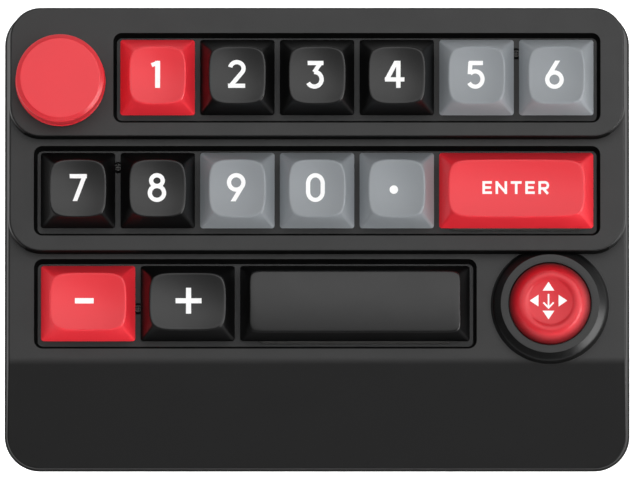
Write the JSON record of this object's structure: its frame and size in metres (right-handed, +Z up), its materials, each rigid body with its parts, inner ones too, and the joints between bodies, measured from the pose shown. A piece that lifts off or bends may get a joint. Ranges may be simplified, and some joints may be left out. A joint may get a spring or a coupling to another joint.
{
  "type": "macro keypad",
  "caption": "Low three-tier desk keypad with sprung square keycaps, a turning and pressing knob, a tilting thumb-stick in a raised bezel and a sloping palm rest.",
  "frame": {"origin": "middle of the footprint, on the surface that the rubber feet stand on", "axes": "+X to the user's right along the key rows, +Y away from the user, +Z up out of the keys"},
  "size_m": [0.1498, 0.1108, 0.0398],
  "materials": {
    "case": "fine matte texture",
    "case_bottom": "matte",
    "cap_black": "satin",
    "cap_grey": "satin",
    "cap_red": "satin",
    "knob_red": "semi-gloss",
    "plate_metal": "matte powder",
    "switch_black": "moulded",
    "stem_red": "moulded",
    "spring_steel": "drawn wire",
    "screw_steel": "blackened",
    "connector_steel": "stamped",
    "foot_rubber": "matte",
    "board": "solder resist",
    "flex": "polyimide film"
  },
  "bodies": {
    "chassis": {"switch_bases": "switch_black", "switch_tops": "switch_black", "switch_springs": "spring_steel", "switch_plate_upper": "plate_metal", "circuit_board_upper": "board", "switch_plate_middle": "plate_metal", "circuit_board_middle": "board", "switch_plate_lower": "plate_metal", "circuit_board_lower": "board", "top_case": "case", "bottom_case": "case_bottom", "flat_cables": "flex", "stabiliser_housings": "switch_black", "plate_screws": "screw_steel", "case_screws": "screw_steel", "rubber_feet": "foot_rubber", "usb_socket": "connector_steel", "encoder_body": "connector_steel", "stick_housing": "switch_black", "stick_bezel": "case"},
    "key_1": {"keycap_1": "cap_red", "stem_1": "stem_red"},
    "key_2": {"keycap_2": "cap_black", "stem_2": "stem_red"},
    "key_3": {"keycap_3": "cap_black", "stem_3": "stem_red"},
    "key_4": {"keycap_4": "cap_black", "stem_4": "stem_red"},
    "key_5": {"keycap_5": "cap_grey", "stem_5": "stem_red"},
    "key_6": {"keycap_6": "cap_grey", "stem_6": "stem_red"},
    "key_7": {"keycap_7": "cap_black", "stem_7": "stem_red"},
    "key_8": {"keycap_8": "cap_black", "stem_8": "stem_red"},
    "key_9": {"keycap_9": "cap_grey", "stem_9": "stem_red"},
    "key_0": {"keycap_0": "cap_grey", "stem_0": "stem_red"},
    "key_point": {"keycap_point": "cap_grey", "stem_point": "stem_red"},
    "key_enter": {"keycap_enter": "cap_red", "stems_enter": "stem_red"},
    "key_minus": {"keycap_minus": "cap_red", "stem_minus": "stem_red"},
    "key_plus": {"keycap_plus": "cap_black", "stem_plus": "stem_red"},
    "key_bar": {"keycap_bar": "cap_black", "stems_bar": "stem_red"},
    "enter_wire": {"enter_stabiliser_wire": "screw_steel"},
    "bar_wire": {"bar_stabiliser_wire": "screw_steel"},
    "encoder_rotor": {"encoder_rotor": "switch_black"},
    "knob": {"knob": "knob_red", "encoder_shaft": "connector_steel"},
    "stick_yoke": {"stick_yoke": "switch_black"},
    "stick_cradle": {"stick_cradle": "switch_black"},
    "stick": {"stick_cap": "knob_red", "stick_shaft": "switch_black"}
  },
  "joints": [
    {"name": "key_1_press", "type": "slide", "parent": "chassis", "child": "key_1", "axis": [0, 0, -1], "range_m": [0, 0.004], "stiffness_N_per_m": 75, "springref_m": -0.004, "deforming": ["switch_springs"]},
    {"name": "key_2_press", "type": "slide", "parent": "chassis", "child": "key_2", "axis": [0, 0, -1], "range_m": [0, 0.004], "stiffness_N_per_m": 75, "springref_m": -0.004, "deforming": ["switch_springs"]},
    {"name": "key_3_press", "type": "slide", "parent": "chassis", "child": "key_3", "axis": [0, 0, -1], "range_m": [0, 0.004], "stiffness_N_per_m": 75, "springref_m": -0.004, "deforming": ["switch_springs"]},
    {"name": "key_4_press", "type": "slide", "parent": "chassis", "child": "key_4", "axis": [0, 0, -1], "range_m": [0, 0.004], "stiffness_N_per_m": 75, "springref_m": -0.004, "deforming": ["switch_springs"]},
    {"name": "key_5_press", "type": "slide", "parent": "chassis", "child": "key_5", "axis": [0, 0, -1], "range_m": [0, 0.004], "stiffness_N_per_m": 75, "springref_m": -0.004, "deforming": ["switch_springs"]},
    {"name": "key_6_press", "type": "slide", "parent": "chassis", "child": "key_6", "axis": [0, 0, -1], "range_m": [0, 0.004], "stiffness_N_per_m": 75, "springref_m": -0.004, "deforming": ["switch_springs"]},
    {"name": "key_7_press", "type": "slide", "parent": "chassis", "child": "key_7", "axis": [0, 0, -1], "range_m": [0, 0.004], "stiffness_N_per_m": 75, "springref_m": -0.004, "deforming": ["switch_springs"]},
    {"name": "key_8_press", "type": "slide", "parent": "chassis", "child": "key_8", "axis": [0, 0, -1], "range_m": [0, 0.004], "stiffness_N_per_m": 75, "springref_m": -0.004, "deforming": ["switch_springs"]},
    {"name": "key_9_press", "type": "slide", "parent": "chassis", "child": "key_9", "axis": [0, 0, -1], "range_m": [0, 0.004], "stiffness_N_per_m": 75, "springref_m": -0.004, "deforming": ["switch_springs"]},
    {"name": "key_0_press", "type": "slide", "parent": "chassis", "child": "key_0", "axis": [0, 0, -1], "range_m": [0, 0.004], "stiffness_N_per_m": 75, "springref_m": -0.004, "deforming": ["switch_springs"]},
    {"name": "key_point_press", "type": "slide", "parent": "chassis", "child": "key_point", "axis": [0, 0, -1], "range_m": [0, 0.004], "stiffness_N_per_m": 75, "springref_m": -0.004, "deforming": ["switch_springs"]},
    {"name": "key_enter_press", "type": "slide", "parent": "chassis", "child": "key_enter", "axis": [0, 0, -1], "range_m": [0, 0.004], "stiffness_N_per_m": 75, "springref_m": -0.004, "deforming": ["switch_springs"]},
    {"name": "key_minus_press", "type": "slide", "parent": "chassis", "child": "key_minus", "axis": [0, 0, -1], "range_m": [0, 0.004], "stiffness_N_per_m": 75, "springref_m": -0.004, "deforming": ["switch_springs"]},
    {"name": "key_plus_press", "type": "slide", "parent": "chassis", "child": "key_plus", "axis": [0, 0, -1], "range_m": [0, 0.004], "stiffness_N_per_m": 75, "springref_m": -0.004, "deforming": ["switch_springs"]},
    {"name": "key_bar_press", "type": "slide", "parent": "chassis", "child": "key_bar", "axis": [0, 0, -1], "range_m": [0, 0.004], "stiffness_N_per_m": 75, "springref_m": -0.004, "deforming": ["switch_springs"]},
    {"name": "enter_wire_rock", "type": "hinge", "parent": "chassis", "child": "enter_wire", "pos_m": [0, 0.00205, 0.0189], "axis": [1, 0, 0], "range_deg": [-25.94, 0]},
    {"name": "bar_wire_rock", "type": "hinge", "parent": "chassis", "child": "bar_wire", "pos_m": [0, -0.02465, 0.0134], "axis": [1, 0, 0], "range_deg": [-25.94, 0]},
    {"name": "knob_turn", "type": "hinge", "parent": "chassis", "child": "encoder_rotor", "pos_m": [-0.0613, 0.0365, 0], "axis": [0, 0, 1], "continuous": true},
    {"name": "knob_press", "type": "slide", "parent": "encoder_rotor", "child": "knob", "axis": [0, 0, -1], "range_m": [0, 0.0005], "stiffness_N_per_m": 2000, "springref_m": -0.0015},
    {"name": "stick_tilt_back", "type": "hinge", "parent": "chassis", "child": "stick_yoke", "pos_m": [0.0557, -0.01625, 0.0218], "axis": [-1, 0, 0], "range_deg": [-5, 5], "stiffness_Nm_per_rad": 0.25},
    {"name": "stick_tilt_right", "type": "hinge", "parent": "stick_yoke", "child": "stick_cradle", "pos_m": [0.0557, -0.01625, 0.0218], "axis": [0, 1, 0], "range_deg": [-5, 5], "stiffness_Nm_per_rad": 0.25},
    {"name": "stick_press", "type": "slide", "parent": "stick_cradle", "child": "stick", "axis": [0, 0, -1], "range_m": [0, 0.0004], "stiffness_N_per_m": 2500, "springref_m": -0.0012}
  ],
  "couplings": [
    {"joint": "enter_wire_rock", "follows": "key_enter_press", "rad_per_m": -112.98},
    {"joint": "bar_wire_rock", "follows": "key_bar_press", "rad_per_m": -112.98}
  ]
}
